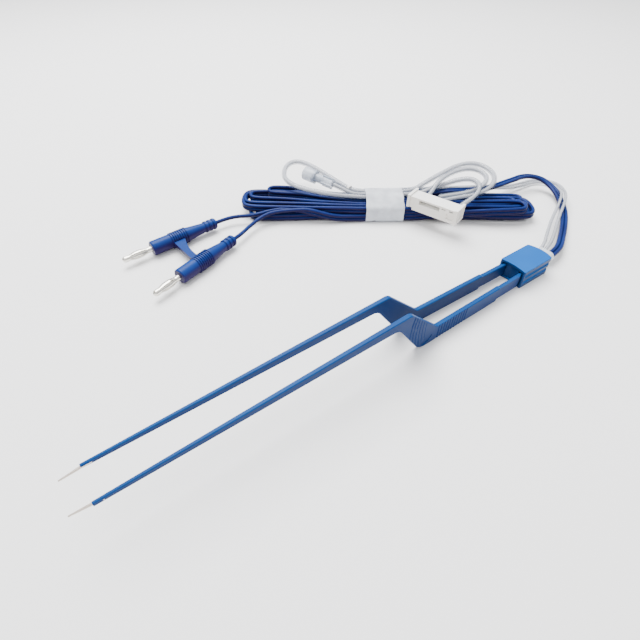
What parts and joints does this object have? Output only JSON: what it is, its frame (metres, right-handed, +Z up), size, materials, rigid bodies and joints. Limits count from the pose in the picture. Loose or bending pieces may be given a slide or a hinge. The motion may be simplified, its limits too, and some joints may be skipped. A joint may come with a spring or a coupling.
{
  "type": "bipolar forceps",
  "caption": "Irrigating bayonet forceps with blue insulated arms, a rear housing, a banded hank of twin cord with two joined pin plugs, clear tubing loops and a pump cassette.",
  "frame": {"origin": "under the middle of the forceps, on the surface it lies on, cord and tubing left out", "axes": "+X from the tips towards the rear housing, +Y towards the right arm, +Z up from the table"},
  "size_m": [0.3006, 0.1478, 0.0236],
  "materials": {
    "arm_insulation": "satin moulded insulation",
    "housing_plastic": "satin moulded plastic",
    "blade_steel": "ground stainless steel",
    "terminal_metal": "bright",
    "cord_blue": "smooth flexible sheath",
    "plug_plastic": "moulded",
    "pin_metal": "nickel plated",
    "band_paper": "matt",
    "clear_tubing": "clear and flexible",
    "clear_plastic": "clear and rigid",
    "cassette_plastic": "white moulded plastic"
  },
  "bodies": {
    "housing": {"rear_housing": "housing_plastic", "arm_spacer": "housing_plastic", "left_inner_wire": "cord_blue", "right_inner_wire": "cord_blue", "power_cord_hank": "cord_blue", "plug_moulding": "plug_plastic", "first_plug_pin": "pin_metal", "second_plug_pin": "pin_metal", "first_plug_spring": "pin_metal", "second_plug_spring": "pin_metal", "paper_band": "band_paper", "irrigation_bundle": "clear_tubing", "fluid_connector": "clear_plastic", "connector_cap": "clear_plastic", "tube_collar": "cassette_plastic", "pump_cassette": "cassette_plastic", "pump_segment": "clear_tubing", "exit_sleeve": "clear_plastic", "power_cord_lead": "cord_blue", "power_cord_tail": "cord_blue", "first_plug_wire": "cord_blue", "second_plug_wire": "cord_blue", "left_irrigation_lead": "clear_tubing", "right_irrigation_lead": "clear_tubing", "irrigation_left_loop": "clear_tubing", "irrigation_outer_loop": "clear_tubing", "pump_return_tube": "clear_tubing", "pump_feed_tube": "clear_tubing", "connector_branch": "clear_tubing"},
    "left_arm": {"left_jacket": "arm_insulation", "left_blade": "blade_steel", "left_terminal": "terminal_metal", "left_irrigation_barb": "blade_steel"},
    "right_arm": {"right_jacket": "arm_insulation", "right_blade": "blade_steel", "right_terminal": "terminal_metal", "right_irrigation_barb": "blade_steel"}
  },
  "joints": [
    {"name": "left_arm_flex", "type": "hinge", "parent": "housing", "child": "left_arm", "pos_m": [0.093, -0.0043, 0.004], "axis": [0, 0, -1], "range_deg": [0, 1.55], "stiffness_Nm_per_rad": 4},
    {"name": "right_arm_flex", "type": "hinge", "parent": "housing", "child": "right_arm", "pos_m": [0.093, 0.0043, 0.004], "axis": [0, 0, 1], "range_deg": [0, 1.55], "stiffness_Nm_per_rad": 4}
  ]
}
